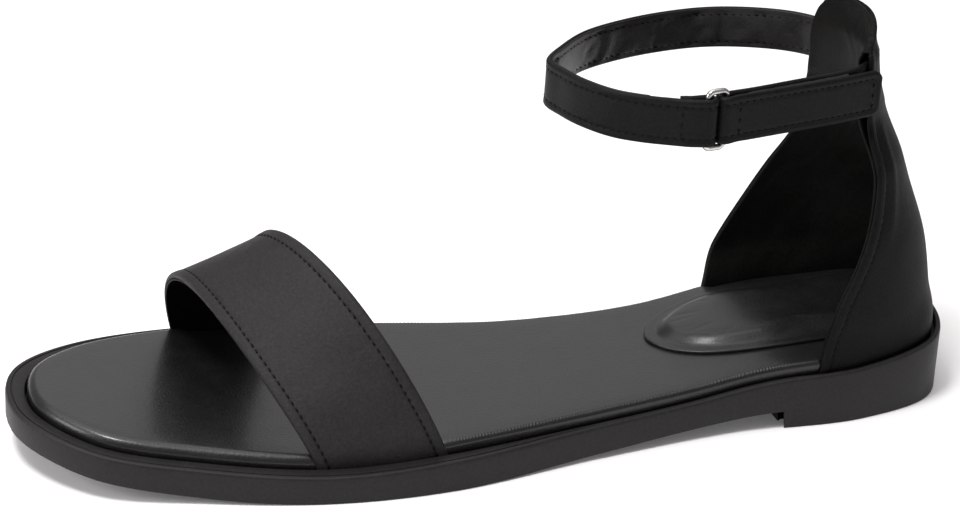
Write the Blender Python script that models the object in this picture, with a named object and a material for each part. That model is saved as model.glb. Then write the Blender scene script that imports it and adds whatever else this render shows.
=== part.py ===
"""Left ankle strap sandal: flat sole with a low heel lug, toe band, heel counter and ankle strap.

All sizes are in millimetres and are turned into metres when a mesh is made. "along" runs from the
back of the heel (0) to the tip of the toe, "across" is positive on the outer (lateral) side, and
"height" is measured from the floor. In the scene the toe points to -Y and +X is the outer side.
"""
import math

import bmesh
import bpy
import numpy as np

MM = 0.001
GAP = 0.3

# Sole, seen from above: points of one closed smooth outline, anticlockwise from the heel
OUTLINE = (
    # across, along
    (0.8, 0.0), (23.2, 7.6), (32.4, 32.0), (32.6, 70.0), (37.8, 110.0), (45.2, 150.0),
    (44.8, 180.0), (37.5, 212.0), (27.7, 239.0), (6.8, 253.6), (-17.8, 250.4), (-36.6, 230.4),
    (-45.9, 195.0), (-38.4, 158.0), (-26.8, 115.0), (-24.8, 75.0), (-27.2, 35.0), (-20.8, 7.6),
)
SOLE = {
    # sizes at stations from heel to toe: underside and rim top above the floor, widths of the rim
    "along": (0, 30, 55, 80, 107, 150, 180, 204, 232, 255),
    "underside": (4.9, 4.9, 4.8, 3.2, 1.5, 0.0, 0.0, 0.8, 4.3, 8.2),
    "rim": (18.8, 15.4, 14.1, 11.0, 9.6, 8.4, 7.4, 8.5, 11.5, 15.2),
    "rim_lateral": (2.0, 2.0, 1.9, 1.9, 2.2, 4.5, 4.9, 4.9, 4.9, 4.9),
    "rim_medial": (2.0, 2.0, 2.6, 3.2, 3.4, 4.5, 4.9, 4.9, 4.9, 4.9),
}
HEEL_BREAST = 55.0
BREAST_RAKE = 0.6
BREAST_NEAR = 5.0
EDGE_BEVEL = 0.5
RIM_BEVEL = 1.1
TRAY_DEPTH = 3.4

FOOTBED_PROUD = 3.1
FOOTBED_CLEARANCE = 0.6
FOOTBED_EDGE = 2.6
HEEL_ROOM = 1.1
ROOM_PAST = 3.0
ROOM_FADE = 7.0
BOARD_CHAMFER = 0.8

# Heel pad, seen from above: half of its teardrop outline
PAD_OUTLINE = ((6.8, 0.0), (9.2, 9.5), (16.0, 15.6), (30.0, 18.0), (52.0, 18.4), (64.0, 16.6),
               (74.0, 12.6), (80.5, 6.8), (83.2, 0.0))
PAD_CENTRE = 1.3
PAD_MIDDLE = 44.0
PAD_EDGE = 0.35
PAD_MARGIN = 1.1
PAD_FOOT = 3.2
PAD_CROWN = 3.4
PAD_DOME = 0.3

# Toe band: feet of its two edges on the sole, and how far each edge arches up and bows to the toe
LEATHER = 1.8
BAND = {
    "edge": ("front", "rear"),
    "lateral": (184.5, 151.0),
    "medial": (203.4, 173.0),
    "rise": (27.6, 44.5),
    "bow": (9.2, 18.4),
    "lean": (-0.23, 0.0),
}

# Heel counter: superellipse sections of its middle surface at rising heights, up to the strap
COUNTER_WALL = 2.0
ANKLE_CENTRE = 1.2
SECTION = {
    "height": (10, 18, 30, 45, 60, 72, 82, 97.5, 106),
    "back": (3.6, 3.9, 5.9, 9.2, 14.8, 19.3, 24.2, 28.4, 28.9),
    "widest_at": (44, 44, 44, 43, 45, 50, 54, 54, 54),
    "half_width": (26.2, 27.6, 29.0, 29.0, 28.6, 29.4, 31.0, 31.0, 31.0),
    "square": (2.5, 2.5, 2.4, 2.3, 2.1, 2.0, 1.9, 1.9, 1.9),
}
COUNTER_EDGE = {
    # where the front edges of the counter lie at rising heights
    "height": (10, 22, 32, 42, 50, 58, 66, 77, 84, 94, 106),
    "lateral": (46.0, 44.2, 41.8, 37.9, 35.4, 33.7, 33.0, 34.2, 35.2, 35.7, 35.2),
    "medial": (59.0, 54.2, 49.6, 43.6, 38.8, 34.2, 31.4, 30.8, 31.8, 33.2, 33.2),
}
SEAT_HEIGHT = 16.0
HEEL_ROUND = 0.08
RISE_HEIGHT = 12.0
LOOP_FROM = 66.0
LOOP_TO = 81.0
WALL_TOP = 62.0
WALL_ROWS = (0.0, 0.12, 0.3, 0.48, 0.66, 0.84, 1.0)
SLEEVE_ROWS = {
    "height": (71.0, 78.0, 81.5, 85.5, 89.5, 93.5, 97.5),
    "swell": (0.0, 0.6, 1.0, 1.0, 1.0, 1.0, 1.0),
}
TAB_TOP = 105.4
TAB_CORNER = 6.4
TAB_SQUARE = 3.2
TAB_ROWS = {
    "share": (0.35, 0.72, 1.0),
    "wall": (3.4, 2.4, 2.0),
}
SLEEVE_WALL = 0.9
SLEEVE_REACH = 36.0

# Ankle strap: its loop seen from above, anticlockwise from the heel, nearly level all round
LOOP_POINTS = (
    # across, along
    (1.2, 26.6), (11.5, 29.4), (19.3, 36.3), (23.1, 44.0), (25.0, 51.6), (27.1, 63.5), (29.2, 75.2),
    (30.8, 85.0), (28.0, 93.0), (25.1, 99.0), (20.2, 105.0), (11.6, 110.0), (3.6, 112.5),
    (-4.0, 113.6), (-13.6, 106.8), (-22.4, 97.6), (-28.7, 83.8), (-31.9, 70.0), (-32.3, 58.5),
    (-29.9, 48.4), (-25.0, 38.7), (-19.8, 33.4), (-10.2, 28.6),
)
STRAP_LEAN = {
    # share of the way round from the ring, and how much of the counter's lean the strap takes there
    "turn": (0.0, 0.2, 0.31, 0.46, 0.6, 0.7, 0.79, 0.86, 1.0),
    "share": (0.0, 0.0, 0.7, 0.9, 1.0, 1.0, 0.3, 0.0, 0.0),
}
STRAP_WIDTH = 12.6
STRAP_BOTTOM = 83.0
STRAP_FALL = 0.02
ANKLE_ALONG = 60.0
STRAP_THICK = 1.6
RING_AT = 82.5
RING_BAR = 3.2
RING_WIRE = 0.8
RING_CORNER = 1.5
RING_ROOM = 0.4
# Route of the strap from its sewn end: distance from the ring round the loop, out from the loop's
# line, and down from its level
FOLD_RUN = ((11.5, -0.95, 0.0), (7.0, -1.4, 0.0))
FRONT_RUN = ((7.0, 1.4, 0.0), (11.0, 0.95, 0.0), (18.0, 0.3, 0.0), (26.0, 0.0, 0.0))
INNER_RUN = ((-56.0, 0.0, 0.0), (-46.0, -0.2, 0.0), (-34.0, -0.95, 0.0), (-10.0, -1.1, 0.0),
             (-6.5, -1.5, 0.0))
TAB_RUN = ((-6.5, 1.5, 0.0), (-10.0, 1.1, 0.1), (-34.0, 0.95, 0.4), (-42.0, 1.6, 0.6),
           (-46.5, 2.7, 0.7), (-50.0, 4.3, 0.8))


def smooth(table, column, key="along"):
    """Return a smooth function through a table's column, flat beyond its ends."""
    at = np.array(table[key], float)
    value = np.array(table[column], float)
    slope = np.gradient(value, at)
    flat = np.r_[False, np.diff(value[:-1]) * np.diff(value[1:]) <= 0, False]
    slope[flat] = 0.0

    def evaluate(x):
        x = float(np.clip(x, at[0], at[-1]))
        k = min(int(np.searchsorted(at, x, side="right")) - 1, len(at) - 2)
        step = at[k + 1] - at[k]
        t = (x - at[k]) / step
        return float(value[k] * (1 + 2 * t) * (1 - t) ** 2 + slope[k] * step * t * (1 - t) ** 2
                     + value[k + 1] * t * t * (3 - 2 * t) + slope[k + 1] * step * t * t * (t - 1))

    return evaluate


def smoothstep(t):
    """Ease from 0 to 1 as t goes from 0 to 1."""
    t = min(max(t, 0.0), 1.0)
    return t * t * (3.0 - 2.0 * t)


def closed_curve(points, per_span=24):
    """Return a dense closed cubic curve through the points, spaced by the roots of their chords."""
    p = np.array(points, float)
    n = len(p)
    chord = np.sqrt(np.linalg.norm(np.roll(p, -1, 0) - p, axis=1))
    before, after = np.roll(p, 1, 0), np.roll(p, -1, 0)
    h0, h1 = np.roll(chord, 1)[:, None], chord[:, None]
    tangent = ((p - before) / h0 * h1 + (after - p) / h1 * h0) / (h0 + h1)
    dense = []
    for k in range(n):
        q, h = (k + 1) % n, chord[k]
        for t in np.arange(per_span) / per_span:
            dense.append(p[k] * (1 + 2 * t) * (1 - t) ** 2 + tangent[k] * h * t * (1 - t) ** 2
                         + p[q] * t * t * (3 - 2 * t) + tangent[q] * h * t * t * (t - 1))
    return np.array(dense)


def centred_outline():
    """Return the sole's dense outline, its box centred across, and its length."""
    curve = closed_curve(OUTLINE)
    low, high = curve.min(0), curve.max(0)
    curve -= np.array([(low[0] + high[0]) / 2, low[1]])
    return curve, high[1] - low[1]


CURVE, LENGTH = centred_outline()
UNDERSIDE = smooth(SOLE, "underside")
RIM = smooth(SOLE, "rim")
RIM_WIDTH = {1: smooth(SOLE, "rim_lateral"), -1: smooth(SOLE, "rim_medial")}


def side_curves():
    """Split the outline at heel and toe into its two sides, each with inward normals."""
    slope = np.roll(CURVE, -1, 0) - np.roll(CURVE, 1, 0)
    slope /= np.linalg.norm(slope, axis=1)[:, None]
    inward = np.stack([-slope[:, 1], slope[:, 0]], 1)
    heel, toe = int(np.argmin(CURVE[:, 1])), int(np.argmax(CURVE[:, 1]))
    n = len(CURVE)
    lateral = [(heel + k) % n for k in range((toe - heel) % n + 1)]
    medial = [(heel - k) % n for k in range((heel - toe) % n + 1)]
    return {side: (CURVE[index], inward[index]) for side, index in ((1, lateral), (-1, medial))}


SIDES = side_curves()
STATIONS = 46


def station_points():
    """Return ring points as (side, point, inward normal), heel to toe outside and back inside."""
    k = np.arange(STATIONS + 1) / STATIONS
    along = LENGTH * (0.25 * k + 0.75 * (0.5 - 0.5 * np.cos(math.pi * k)))
    breast = int(np.argmin(abs(along - HEEL_BREAST)))
    along[breast], along[breast + 1] = HEEL_BREAST, HEEL_BREAST + BREAST_RAKE
    ring = []
    for side, order in ((1, range(STATIONS + 1)), (-1, range(STATIONS - 1, 0, -1))):
        points, inward = SIDES[side]
        rising = np.maximum.accumulate(points[:, 1])
        for i in order:
            p = np.array([np.interp(along[i], rising, points[:, 0]), along[i]])
            v = np.array([np.interp(along[i], rising, inward[:, a]) for a in (0, 1)])
            ring.append((side, p, v / np.linalg.norm(v)))
    return ring


RING = station_points()


def inset_ring(inset, height):
    """Return the outline ring moved inwards by inset(side, along), at height(along)."""
    ring = []
    for side, p, v in RING:
        q = p + v * inset(side, p[1])
        ring.append((q[0], q[1], height(q[1])))
    return ring


def across_at(side, along, inset):
    """Return how far across the outline lies at a place along it, moved inwards by inset."""
    points, inward = SIDES[side]
    moved = points + inward * inset
    reached = np.maximum.accumulate(moved[:, 1])
    return float(np.interp(along, reached, moved[:, 0]))


def world(point):
    """Turn (across, along, height) in millimetres into scene coordinates in metres."""
    return (point[0] * MM, (LENGTH / 2 - point[1]) * MM, point[2] * MM)


def material(name, colour, roughness, metallic=0.0):
    """Make a plain material for one node."""
    mat = bpy.data.materials.new(name)
    mat.use_nodes = True
    shader = mat.node_tree.nodes["Principled BSDF"]
    shader.inputs["Base Color"].default_value = (*colour, 1.0)
    shader.inputs["Roughness"].default_value = roughness
    shader.inputs["Metallic"].default_value = metallic
    mat.diffuse_color = (*colour, 1.0)
    return mat


def solid(name, points, faces, mat, sharp=35.0):
    """Make a closed mesh object from points in millimetres, its faces turned outwards."""
    mesh = bpy.data.meshes.new(name)
    mesh.from_pydata([world(p) for p in points], [], faces)
    build = bmesh.new()
    build.from_mesh(mesh)
    bmesh.ops.recalc_face_normals(build, faces=build.faces)
    if build.calc_volume(signed=True) < 0:
        bmesh.ops.reverse_faces(build, faces=build.faces)
    bmesh.ops.triangulate(build, faces=build.faces)
    build.to_mesh(mesh)
    build.free()
    mesh.shade_smooth()
    mesh.set_sharp_from_angle(angle=math.radians(sharp))
    if mat:
        mesh.materials.append(mat)
    obj = bpy.data.objects.new(name, mesh)
    bpy.context.collection.objects.link(obj)
    return obj


def stacked_rings(rings):
    """Join closed rings of equal length, and close the first and last across the sole."""
    n = len(rings[0])
    points = [p for ring in rings for p in ring]
    faces = []
    for r in range(len(rings) - 1):
        for k in range(n):
            a, b = r * n + k, r * n + (k + 1) % n
            faces.append((a, b, b + n, a + n))
    for start in (0, (len(rings) - 1) * n):
        for k in range(n // 2):
            row = (start + k, start + k + 1, start + (n - k - 1) % n, start + (n - k) % n)
            faces.append(tuple(dict.fromkeys(row)))
    return points, faces


def swept(sections, closed=False):
    """Join equal sections along a path, with an end face on each open end."""
    n, m = len(sections[0]), len(sections)
    points = [p for section in sections for p in section]
    faces = []
    for s in range(m if closed else m - 1):
        for k in range(n):
            a, b = s * n + k, s * n + (k + 1) % n
            c, d = (s + 1) % m * n + (k + 1) % n, (s + 1) % m * n + k
            faces.append((a, b, c, d))
    if not closed:
        faces += [tuple(range(n)), tuple((m - 1) * n + k for k in range(n))]
    return points, faces


def sheet(grid, wall):
    """Give a grid of points a wall: half of wall(row, column) on each side of it, closed all round."""
    grid = np.array(grid, float)
    normal = np.cross(np.gradient(grid, axis=0), np.gradient(grid, axis=1))
    normal /= np.linalg.norm(normal, axis=2)[:, :, None]
    rows, columns = grid.shape[:2]
    half = np.array([[wall(r, c) / 2 for c in range(columns)] for r in range(rows)])[:, :, None]
    points = list((grid + normal * half).reshape(-1, 3)) + list((grid - normal * half).reshape(-1, 3))
    other = rows * columns
    faces = []
    for r in range(rows - 1):
        for c in range(columns - 1):
            a = r * columns + c
            quad = (a, a + 1, a + columns + 1, a + columns)
            faces += [quad, tuple(q + other for q in reversed(quad))]
    border = [c for c in range(columns)]
    border += [r * columns + columns - 1 for r in range(1, rows)]
    border += [(rows - 1) * columns + c for c in range(columns - 2, -1, -1)]
    border += [r * columns for r in range(rows - 2, 0, -1)]
    for a, b in zip(border, border[1:] + border[:1]):
        faces.append((a, a + other, b + other, b))
    return points, faces


def strap_room(side, along):
    """Return how much further in the footbed's edge lies where the toe band or counter passes it."""
    name = "lateral" if side > 0 else "medial"
    front, rear = BAND[name]
    counter = COUNTER_EDGE[name][0]
    past = ROOM_PAST + ROOM_FADE
    band = smoothstep((along - rear + past) / ROOM_FADE) * smoothstep((front + past - along) / ROOM_FADE)
    heel = smoothstep((counter + past - along) / ROOM_FADE)
    room = (COUNTER_WALL + 3 * GAP - FOOTBED_CLEARANCE) * max(band, heel)
    return room + HEEL_ROOM * smoothstep((HEEL_BREAST - along) / HEEL_BREAST)


def footbed_inset(side, along):
    """Return the inset of the footbed's edge from the sole's outline."""
    return RIM_WIDTH[side](along) + FOOTBED_CLEARANCE + strap_room(side, along)


def make_outsole():
    """Mould the sole, its rim and tray, and the heel lug behind the breast as one solid."""
    def under(along):
        return 0.0 if along <= HEEL_BREAST + 0.01 else UNDERSIDE(along)

    rings = [
        inset_ring(lambda side, s: EDGE_BEVEL, under),
        inset_ring(lambda side, s: 0.0, lambda s: under(s) + EDGE_BEVEL),
        inset_ring(lambda side, s: 0.0, lambda s: RIM(s) - RIM_BEVEL),
        inset_ring(lambda side, s: RIM_BEVEL * 0.7, RIM),
        inset_ring(lambda side, s: RIM_WIDTH[side](s), RIM),
        inset_ring(lambda side, s: RIM_WIDTH[side](s), lambda s: RIM(s) - TRAY_DEPTH),
    ]
    for ring in rings[:2]:
        for k, (side, p, v) in enumerate(RING):
            if abs(p[1] - HEEL_BREAST) < BREAST_NEAR:
                ring[k] = (ring[k][0], p[1], ring[k][2])
    rubber = material("sole_rubber", (0.018, 0.018, 0.019), 0.62)
    return solid("outsole", *stacked_rings(rings), rubber)


def make_footbed():
    """Lay the wrapped board in the tray, rounded at its upper edge."""
    def inset(extra):
        return lambda side, s: footbed_inset(side, s) + extra

    rings = [
        inset_ring(inset(BOARD_CHAMFER), lambda s: RIM(s) - TRAY_DEPTH + GAP),
        inset_ring(inset(0.0), lambda s: RIM(s) - TRAY_DEPTH + GAP + BOARD_CHAMFER),
        inset_ring(inset(0.0), lambda s: RIM(s) + FOOTBED_PROUD - FOOTBED_EDGE),
        inset_ring(inset(FOOTBED_EDGE * 0.3), lambda s: RIM(s) + FOOTBED_PROUD - FOOTBED_EDGE * 0.3),
        inset_ring(inset(FOOTBED_EDGE), lambda s: RIM(s) + FOOTBED_PROUD),
    ]
    leather = material("footbed_leather", (0.030, 0.028, 0.027), 0.42)
    return solid("footbed", *stacked_rings(rings), leather)


def make_heel_pad():
    """Make the teardrop pad: a flat margin round a raised cushion, on the footbed."""
    half = [(x, s) for s, x in PAD_OUTLINE]
    curve = closed_curve(half + [(-x, s) for x, s in reversed(half[1:-1])], per_span=4)
    middle = np.array([0.0, PAD_MIDDLE])

    def place(point, height):
        return (point[0] + PAD_CENTRE, point[1], RIM(point[1]) + FOOTBED_PROUD + GAP + height)

    def ring(inset, height, scale=1.0):
        out = []
        for p in curve:
            arm = (p - middle) * scale
            out.append(place(middle + arm * (1 - inset / np.linalg.norm(arm)), height))
        return out

    top = PAD_CROWN + PAD_DOME
    rings = [ring(0.0, 0.0, 0.33), ring(0.0, 0.0, 0.66), ring(PAD_EDGE, 0.0), ring(0.0, PAD_EDGE),
             ring(0.0, PAD_MARGIN - PAD_EDGE), ring(PAD_EDGE, PAD_MARGIN),
             ring(PAD_FOOT, PAD_MARGIN), ring(PAD_FOOT + 1.8, PAD_CROWN - 0.6),
             ring(PAD_FOOT + 4.3, PAD_CROWN), ring(0.0, top - 0.15, 0.5), ring(0.0, top - 0.05, 0.25)]
    points, faces = [p for r in rings for p in r], []
    n = len(curve)
    for r in range(len(rings) - 1):
        for k in range(n):
            a, b = r * n + k, r * n + (k + 1) % n
            faces.append((a, b, b + n, a + n))
    for start, height in ((0, 0.0), ((len(rings) - 1) * n, top)):
        hub = len(points)
        points.append(place(middle, height))
        faces += [(start + k, start + (k + 1) % n, hub) for k in range(n)]
    leather = material("pad_leather", (0.034, 0.032, 0.031), 0.36)
    return solid("heel_pad", points, faces, leather)


def band_edge(edge, turns):
    """Return one edge of the toe band's middle surface, from the outer foot over to the inner."""
    i = BAND["edge"].index(edge)
    foot = {1: BAND["lateral"][i], -1: BAND["medial"][i]}
    inset = {s: RIM_WIDTH[s](foot[s]) + GAP + LEATHER / 2 for s in foot}
    across = {s: across_at(s, foot[s], inset[s]) for s in foot}
    low = {s: RIM(foot[s]) - TRAY_DEPTH + GAP for s in foot}
    base = {s: RIM(foot[s]) for s in foot}
    middle, reach = (across[1] + across[-1]) / 2, (across[1] - across[-1]) / 2
    points = [(across[1], foot[1], low[1])]
    for turn in turns:
        c, s = math.cos(turn), math.sin(turn)
        share = (1 - c) / 2
        height = base[1] + (base[-1] - base[1]) * share
        height += BAND["rise"][i] * s * (1 + BAND["lean"][i] * c)
        points.append((middle + reach * c, foot[1] + (foot[-1] - foot[1]) * share + BAND["bow"][i] * s,
                       height))
    points.append((across[-1], foot[-1], low[-1]))
    return np.array(points)


def make_toe_band():
    """Arch the toe band between its front and rear edges, its feet following the rim."""
    turns = np.linspace(0, math.pi, 29)
    front, rear = band_edge("front", turns), band_edge("rear", turns)
    grid = [front + (rear - front) * t for t in np.linspace(0, 1, 5)]
    for row in grid:
        for side, ends in ((1, (0, 1)), (-1, (-1, -2))):
            inset = RIM_WIDTH[side](row[ends[0]][1]) + GAP + LEATHER / 2
            for e in ends:
                row[e][0] = across_at(side, row[e][1], inset)
    leather = material("upper_leather", (0.022, 0.022, 0.023), 0.66)
    return solid("toe_band", *sheet(grid, lambda r, c: LEATHER), leather)


def loop_curve():
    """Return the strap's loop from the ring on, its lengths and outward normals, and its heel."""
    points = closed_curve(LOOP_POINTS, per_span=12)
    outer = [k for k in range(len(points)) if points[k][0] > 0]
    ring = min(outer, key=lambda k: abs(points[k][1] - RING_AT))
    points = np.roll(points, -ring, 0)
    step = np.linalg.norm(np.roll(points, -1, 0) - points, axis=1)
    slope = np.roll(points, -1, 0) - np.roll(points, 1, 0)
    slope /= np.linalg.norm(slope, axis=1)[:, None]
    normal = np.stack([slope[:, 1], -slope[:, 0]], 1)
    return points, np.r_[0, np.cumsum(step)], normal, int(np.argmin(points[:, 1]))


LOOP, LOOP_LENGTHS, LOOP_NORMALS, LOOP_HEEL = loop_curve()
LOOP_LENGTH = LOOP_LENGTHS[-1]


def on_loop(run, out):
    """Return (across, along) at a distance round the loop from the ring and a distance out of it."""
    run %= LOOP_LENGTH
    place, normal = [], []
    for a in (0, 1):
        place.append(np.interp(run, LOOP_LENGTHS, np.r_[LOOP[:, a], LOOP[0, a]]))
        normal.append(np.interp(run, LOOP_LENGTHS, np.r_[LOOP_NORMALS[:, a], LOOP_NORMALS[0, a]]))
    return np.array(place) + np.array(normal) * out


ANKLE = {name: smooth(SECTION, name, "height") for name in SECTION if name != "height"}
EDGES = {1: smooth(COUNTER_EDGE, "lateral", "height"), -1: smooth(COUNTER_EDGE, "medial", "height")}
STRAP_MIDDLE = STRAP_BOTTOM + STRAP_WIDTH / 2
LEAN_SHARE = smooth(STRAP_LEAN, "share", "turn")


def loop_lean(run, height):
    """Return how far the strap's loop leans in at a height above its middle, most behind the ankle."""
    share = LEAN_SHARE(run % LOOP_LENGTH / LOOP_LENGTH)
    return share * (ANKLE["back"](height) - ANKLE["back"](STRAP_MIDDLE))


def loop_point(side, share, height):
    """Return the place on the loop, share of the way from the heel to the counter's edge."""
    heel = LOOP_LENGTHS[LOOP_HEEL]
    runs = heel + side * np.linspace(0.0, SLEEVE_REACH, 73)
    path = np.array([on_loop(run, -loop_lean(run, height)) for run in runs])
    edge = float(np.interp(EDGES[side](height), path[:, 1], runs))
    return on_loop(heel + (edge - heel) * share, -loop_lean(heel + (edge - heel) * share, height))


def section_point(side, share, height):
    """Return the place on the counter's own section, share of the way from its back to its edge."""
    edge, back, widest = EDGES[side](height), ANKLE["back"](height), ANKLE["widest_at"](height)
    along = back + (edge - back) * (1 - math.cos(share * math.pi / 2))
    square = ANKLE["square"](height)
    reach = max((widest - along) / (widest - back), 0.0)
    across = side * ANKLE["half_width"](height) * max(1 - reach ** square, 0.0) ** (1 / square)
    across += ANKLE_CENTRE
    inset = RIM_WIDTH[side](along) + GAP + COUNTER_WALL / 2
    centred = smoothstep(share / HEEL_ROUND)
    low = across_at(side, along, inset) * centred + ANKLE_CENTRE * (1 - centred)
    rise = smoothstep((height - RIM(along) - GAP) / RISE_HEIGHT)
    return np.array([low + (across - low) * rise, along])


def counter_point(side, share, height):
    """Return a point of the counter's middle surface, which turns from its sections to the loop."""
    to_loop = smoothstep((height - LOOP_FROM) / (LOOP_TO - LOOP_FROM))
    place = section_point(side, share, height) if to_loop < 1 else np.zeros(2)
    if to_loop > 0:
        place = place * (1 - to_loop) + loop_point(side, share, height) * to_loop
    return (place[0], place[1], height)


def counter_row(shares, height):
    """Return a row of the counter's middle surface at height(along, share)."""
    row = []
    for t in shares:
        side, share = (1 if t > 0 else -1), abs(t)
        along = section_point(side, share, SEAT_HEIGHT)[1]
        row.append(counter_point(side, share, height(along, share)))
    return row


def make_counter():
    """Shape the heel cup with its tab, thickened to a sleeve at the height of the strap."""
    shares = np.linspace(-1, 1, 35)
    grid = [counter_row(shares, lambda along, share: RIM(along) - TRAY_DEPTH + GAP)]
    for q in WALL_ROWS:
        def height(along, share, q=q):
            return RIM(along) + GAP + (WALL_TOP - RIM(along) - GAP) * q
        grid.append(counter_row(shares, height))
    wall = [COUNTER_WALL] * len(grid)
    sleeve = STRAP_THICK + 2 * GAP + 2 * SLEEVE_WALL
    for level, swell in zip(SLEEVE_ROWS["height"], SLEEVE_ROWS["swell"]):
        grid.append(counter_row(shares, lambda along, share, level=level: level))
        wall.append(COUNTER_WALL + (sleeve - COUNTER_WALL) * swell)
    for q, thick in zip(TAB_ROWS["share"], TAB_ROWS["wall"]):
        def height(along, share, q=q):
            top = TAB_TOP - TAB_CORNER * share ** TAB_SQUARE
            return SLEEVE_ROWS["height"][-1] * (1 - q) + top * q
        grid.append(counter_row(shares, height))
        wall.append(thick)
    leather = material("counter_leather", (0.022, 0.022, 0.023), 0.64)
    counter = solid("heel_counter", *sheet(grid, lambda r, c: wall[r]), leather)
    cut = counter.modifiers.new("sleeve", "BOOLEAN")
    cut.operation = "DIFFERENCE"
    cut.object = make_sleeve_cutter()
    return counter


def route_part(rows, step):
    """Return (run, out, down) places at about equal steps through rows of a route."""
    ordered = sorted(rows)
    table = {name: [row[i] for row in ordered] for i, name in enumerate(("run", "out", "down"))}
    out, down = smooth(table, "out", "run"), smooth(table, "down", "run")
    count = max(round(abs(rows[-1][0] - rows[0][0]) / step), 1)
    return [(run, out(run), down(run)) for run in np.linspace(rows[0][0], rows[-1][0], count + 1)]


def strap_route():
    """Return the places of the strap's middle line, from its sewn end to the end of its tab."""
    bend = RING_WIRE + GAP + STRAP_THICK / 2
    half_turn = np.radians(np.linspace(-90, 90, 8))
    front = [(RING_BAR - bend * math.cos(a), bend * math.sin(a), 0.0) for a in half_turn]
    rear = [(-RING_BAR + bend * math.cos(a), bend * math.sin(a), 0.0) for a in half_turn]
    first, last = FRONT_RUN[-1][0], LOOP_LENGTH + INNER_RUN[0][0]
    round_ankle = [(run, 0.0, 0.0) for run in np.linspace(first, last, 48)[1:-1]]
    return (route_part(FOLD_RUN, 2.5) + front + route_part(FRONT_RUN, 2.5) + round_ankle
            + route_part(INNER_RUN, 3.5) + rear), route_part(TAB_RUN, 3.5)


def strap_sections(route, thick, spare, leaning):
    """Return the strap's sections along a route, spare wider above and below."""
    line = np.array([on_loop(run, out) for run, out, _ in route])
    slope = np.gradient(line, axis=0)
    slope /= np.linalg.norm(slope, axis=1)[:, None]
    normal = np.stack([slope[:, 1], -slope[:, 0]], 1)
    sections = []
    for k, (run, out, down) in enumerate(route):
        low = STRAP_BOTTOM - STRAP_FALL * (line[k][1] - ANKLE_ALONG) - down
        section = []
        for height, side in ((low - spare, -1), (low - spare, 1), (low + STRAP_WIDTH + spare, 1),
                             (low + STRAP_WIDTH + spare, -1)):
            lean = loop_lean(run, height) if leaning[k] else 0.0
            q = on_loop(run, out - lean) + normal[k] * side * thick / 2
            section.append((q[0], q[1], height))
        sections.append(section)
    return sections


def make_sleeve_cutter():
    """Make the channel that the strap needs through the counter's sleeve."""
    centre = LOOP_LENGTHS[LOOP_HEEL]
    route = [(centre + run, 0.0, 0.0) for run in np.linspace(-SLEEVE_REACH, SLEEVE_REACH, 31)]
    sections = strap_sections(route, STRAP_THICK + 2 * GAP, GAP, [True] * len(route))
    cutter = solid("sleeve_cutter", *swept(sections), None)
    cutter.hide_render = True
    cutter.display_type = "WIRE"
    return cutter


def make_ankle_strap():
    """Run the strap round the ankle, through the sleeve and the ring, and back over itself."""
    band, tab = strap_route()
    leaning = [True] * len(band) + [False] * len(tab)
    sections = strap_sections(band + tab, STRAP_THICK, 0.0, leaning)
    leather = material("strap_leather", (0.022, 0.022, 0.023), 0.62)
    return solid("ankle_strap", *swept(sections), leather)


def make_ring():
    """Bend the ring's wire into a rounded rectangle that stands in the plane of the strap."""
    front, rear = on_loop(RING_BAR, 0.0), on_loop(-RING_BAR, 0.0)
    centre, wide = (front + rear) / 2, np.linalg.norm(front - rear) / 2
    forward = (front - rear) / (2 * wide)
    outward = np.array([forward[1], -forward[0]])
    middle = STRAP_MIDDLE - STRAP_FALL * (centre[1] - ANKLE_ALONG)
    tall = STRAP_WIDTH / 2 + RING_ROOM + RING_WIRE
    path = []
    for quarter, (sx, sz) in enumerate(((1, 1), (-1, 1), (-1, -1), (1, -1))):
        for step in range(5):
            a = math.radians(90 * quarter + 22.5 * step)
            path.append((sx * (wide - RING_CORNER) + RING_CORNER * math.cos(a),
                         sz * (tall - RING_CORNER) + RING_CORNER * math.sin(a)))
    path = np.array(path)
    slope = np.roll(path, -1, 0) - np.roll(path, 1, 0)
    slope /= np.linalg.norm(slope, axis=1)[:, None]
    sections = []
    for (u, w), (du, dw) in zip(path, slope):
        section = []
        for a in np.radians(np.arange(0, 360, 45)):
            side, out = RING_WIRE * math.cos(a), RING_WIRE * math.sin(a)
            flat = centre + forward * (u + dw * side) + outward * out
            section.append((flat[0], flat[1], middle + w - du * side))
        sections.append(section)
    metal = material("ring_metal", (0.75, 0.74, 0.72), 0.22, 1.0)
    return solid("strap_ring", *swept(sections, closed=True), metal)


for old in list(bpy.data.objects):
    bpy.data.objects.remove(old, do_unlink=True)
make_outsole()
make_footbed()
make_heel_pad()
make_toe_band()
make_counter()
make_ankle_strap()
make_ring()
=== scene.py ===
"""Looks of a left ankle strap sandal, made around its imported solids.

Sizes are in millimetres. "along" runs from the back of the heel (0) to the tip of the toe, "across" is
positive on the outer side and "height" is above the floor. The toe points to -Y and +X is outwards.
"""
import math

import bpy
import numpy as np
from mathutils import Matrix, Vector


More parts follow.
